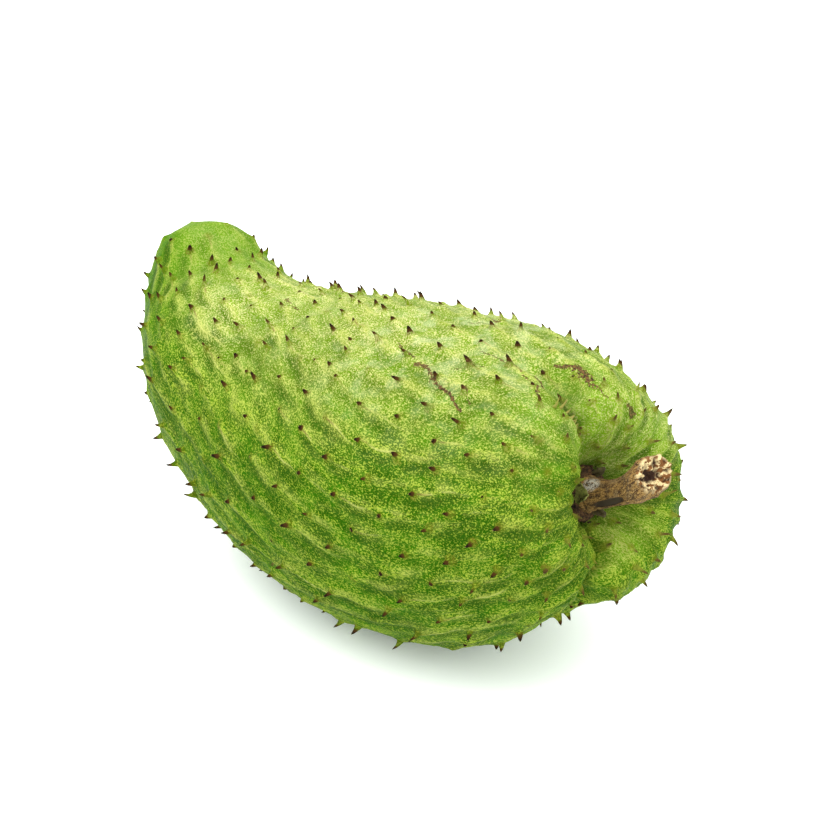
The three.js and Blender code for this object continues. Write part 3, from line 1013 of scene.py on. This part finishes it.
def barkFinish():
    shop = Shop("dryBark", {"IOR": 1.4, "Specular IOR Level": 0.3})
    bark = shop.attribute("bark", "Vector")
    torn, deep = shop.attribute("torn"), shop.attribute("deep")
    across, up, rise = shop.split(bark)
    side = up.sum("ARCTAN2", across)
    fibres = shop.noise(bark, 0.9, 3, 0.6, squeeze=(1, 1, 0.3))
    broad = shop.noise(bark, 4, 2, 0.5)
    specks = shop.noise(bark, 0.42, 2, 0.6)
    grit = shop.noise(bark, 1.1, 2, 0.6, 0.5)

    def fromMiddle(patch):
        # squared distance from the middle of a patch, 1 at its edge
        onward = (rise - patch["rise"]) / patch["half"]
        aside = (side - math.radians(patch["turn"])) / math.radians(patch["spread"])
        return onward ** 2.0 + aside ** 2.0

    color = shop.mix(fibres.step(0.38, 0.62), barkColours["dark"], barkColours["light"])
    color = shop.mix(broad.step(0.5, 0.66) * 0.5, color, barkColours["grey"])
    white = (1 - fromMiddle(stem["whitePatch"]).step(0.3, 1.2)) * grit.step(0.32, 0.52)
    speckled = specks.step(0.54, 0.62) * (0.35 + rise.step(15, 24) * 0.25 + white * 0.3)
    color = shop.mix(speckled.clip(), color, barkColours["speck"])
    color = shop.mix(white * 0.65, color, barkColours["white"])
    color = shop.mix((1 - specks.step(0.4, 0.48)) * 0.8, color, barkColours["pit"])
    stain = fromMiddle(stem["wornPatch"]) + (grit - 0.5) * 0.5
    wornTone = shop.mix(broad, barkColours["worn"], barkColours["wornPale"])
    color = shop.mix((1 - stain.step(1.0, 1.25)) * 0.9, color, barkColours["wornEdge"])
    color = shop.mix(1 - stain.step(0.62, 0.8), color, wornTone)
    chips = shop.noise(bark, 1.5, 2, 0.6)
    wood = shop.mix(chips.step(0.43, 0.52), barkColours["wood"], barkColours["woodPale"])
    # painted shade: the low places of the torn end, the hole among the chips, are painted dark
    wood = shop.mix(1 - deep.step(-0.7, 0.35), wood, barkColours["woodPaintedShade"])
    wood = shop.mix(specks.step(0.54, 0.64) * 0.6, wood, barkColours["woodSpeck"])
    color = shop.mix(torn, color, wood)
    smoothed = 1 - stain.step(0.9, 1.1)
    height = (fibres * 0.5 + specks * 0.45 + grit * 0.3) * (1 - smoothed * 0.85)
    shop.paint(color, 0.86 - smoothed * 0.25, shop.bump(height, 0.7, 0.4))
    return shop


sepal = {
    "width": 5.6,
    "height": 5.6,
    "thickness": 0.5,
    "standsAt": 7.1,
    "sunkBy": 0.8,
    # turn round the stem, how far it leans out, scale, how withered
    "places": {"sepal_front": (156, 0.1, 1.3, 0.2), "sepal_lower": (-75, 0.45, 0.8, 0.9),
               "sepal_back": (45, 0.5, 0.8, 0.9)},
}


def growSepal(node, turnDegrees, lean, scale, withered):
    deselectAll()
    bpy.ops.mesh.primitive_grid_add(x_subdivisions=12, y_subdivisions=14, size=2)
    piece = bpy.context.active_object
    piece.name = node + "_flap"
    grid = readPlaces(piece)
    side, rise = grid[:, 0], (grid[:, 1] + 1) / 2
    outline = np.clip(1 - (rise * 0.97) ** 1.9, 0, 1) ** 0.8 * (1 + 0.12 * np.sin(9 * rise + turnDegrees))
    half = scale * sepal["width"] / 2 * outline
    turn = math.radians(turnDegrees) + side * half / sepal["standsAt"]
    height = scale * sepal["height"]
    curl = 0.5 * side ** 2 * rise + 0.35 * np.sin(5 * side + 4 * rise)
    out = sepal["standsAt"] + lean * height * rise ** 1.6 + curl
    setPlaces(piece, besideCore(collarTop + sepal["sunkBy"] - height * rise, turn, out, out))
    selectOnly(piece)
    solid = piece.modifiers.new("thickness", "SOLIDIFY")
    solid.thickness = sepal["thickness"] * mm
    solid.offset = 0
    bpy.ops.object.modifier_apply(modifier=solid.name)
    smooth = piece.modifiers.new("rounding", "SUBSURF")
    smooth.levels = smooth.render_levels = 1
    bpy.ops.object.modifier_apply(modifier=smooth.name)
    faceOutwards(piece)
    bpy.ops.object.shade_smooth()
    places = readPlaces(piece) / mm
    pushOut(piece, noiseAt(places, 1.4, 18) * 0.22 + noiseAt(places, 0.6, 19) * 0.1)
    addAttribute(piece, "withered", np.full(len(places), withered))
    return piece


sepalColours = {
    "dark": rgb(72, 66, 26),
    "light": rgb(126, 130, 60),
    "speck": rgb(156, 156, 98),
    "withered": rgb(52, 40, 24),
    "pit": rgb(26, 20, 10),
}


def sepalFinish():
    shop = Shop("driedSepal", {"IOR": 1.42, "Specular IOR Level": 0.35})
    here = shop.place()
    broad, specks = shop.noise(here, 2.2, 2, 0.6), shop.noise(here, 0.6, 2, 0.6)
    color = shop.mix(broad.step(0.36, 0.58), sepalColours["dark"], sepalColours["light"])
    color = shop.mix(specks.step(0.55, 0.68) * 0.6, color, sepalColours["speck"])
    color = shop.mix(shop.attribute("withered") * broad.between(0.6, 1.2), color, sepalColours["withered"])
    color = shop.mix((1 - specks.step(0.34, 0.45)) * 0.6, color, sepalColours["pit"])
    shop.paint(color, 0.75, shop.bump(specks + broad, 0.6, 0.4))
    return shop


def finishPiece(piece, shop, node):
    shop.give(piece)
    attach(piece, "root")
    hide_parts(node)


fruitSkin = growSkin()
print("skin grown", len(fruitSkin.data.polygons))
spinePattern = modelSpine()
planted = plantSpines(spinePattern, np.vstack([spinePlan(), hairPlan()]))
joinInto(fruitSkin, planted)
bpy.data.objects.remove(spinePattern)
finishPiece(fruitSkin, skinFinish(), "fruit")
print("spines planted", len(planted), "faces now", len(fruitSkin.data.polygons))

finishPiece(growCollar(), corkFinish(), "collar")
finishPiece(growStem(), barkFinish(), "stem")
driedSepal = sepalFinish()
for node, shape in sepal["places"].items():
    finishPiece(growSepal(node, *shape), driedSepal, node)
print("collar, stem and sepals made")


# the camera's lengths are millimetres; the light's and the floor's are metres
studio = {
    "aim": (-2.7, 9.6, 72.4),
    "azimuth": 42,
    "elevation": 29,
    "distance": 722,
    "lens": 85,
    "domeFrom": (0.29, 0.14, 1),
    "domeTop": 3.1,
    "domeEdge": 0.3,
    "lightFrom": (-0.25, -0.6, 1.0),
    "lightSize": 0.9,
    "lightPower": 9,
    "floorSize": 8,
    "floorDrop": 0.0003,
}

aim = Vector(studio["aim"]) * mm


def layFloor():
    deselectAll()
    bpy.ops.mesh.primitive_plane_add(size=studio["floorSize"], location=(0, 0, -studio["floorDrop"]))
    floor = bpy.context.active_object
    floor.name = "floor"
    shop = Shop("paleFloor", {"Base Color": (0.88, 0.92, 0.9, 1), "Roughness": 0.9, "Specular IOR Level": 0.1,
                              "Emission Color": (0.93, 1, 0.96, 1), "Emission Strength": 0.16})
    shop.give(floor)


def spreadSky():
    # a wide soft dome, brightest above and a little behind the fruit
    world = bpy.data.worlds.new("softSky")
    bpy.context.scene.world = world
    world.use_nodes = True
    tree = world.node_tree
    toward = tree.nodes.new("ShaderNodeVectorMath")
    toward.operation = "DOT_PRODUCT"
    toward.inputs[1].default_value = Vector(studio["domeFrom"]).normalized()
    spread = tree.nodes.new("ShaderNodeMapRange")
    limits = {"From Min": 0.0, "From Max": 1.0, "To Min": studio["domeEdge"], "To Max": studio["domeTop"]}
    for socket, value in limits.items():
        spread.inputs[socket].default_value = value
    tree.links.new(tree.nodes.new("ShaderNodeTexCoord").outputs["Generated"], toward.inputs[0])
    tree.links.new(toward.outputs["Value"], spread.inputs["Value"])
    tree.links.new(spread.outputs[0], tree.nodes["Background"].inputs["Strength"])
    tree.nodes["Background"].inputs["Color"].default_value = (1, 1, 1, 1)


def lookAlong(item, direction):
    item.rotation_mode = "QUATERNION"
    item.rotation_quaternion = direction.to_track_quat("-Z", "Y")


def hangLight():
    bpy.ops.object.light_add(type="AREA", location=studio["lightFrom"])
    light = bpy.context.active_object
    light.name = "front"
    light.data.size = studio["lightSize"]
    light.data.energy = studio["lightPower"]
    lookAlong(light, aim - Vector(studio["lightFrom"]))


def setCamera():
    turn, tilt = math.radians(studio["azimuth"]), math.radians(studio["elevation"])
    back = Vector((math.sin(turn) * math.cos(tilt), -math.cos(turn) * math.cos(tilt), math.sin(tilt)))
    bpy.ops.object.camera_add(location=aim + back * studio["distance"] * mm)
    camera = bpy.context.active_object
    lookAlong(camera, -back)
    camera.data.lens = studio["lens"]
    camera.data.sensor_width = 36
    camera.data.clip_start = 0.01
    bpy.context.scene.camera = camera
    view = bpy.context.scene.view_settings
    view.view_transform = "Standard"
    view.look = "None"


layFloor()
spreadSky()
hangLight()
setCamera()
print("stage set")
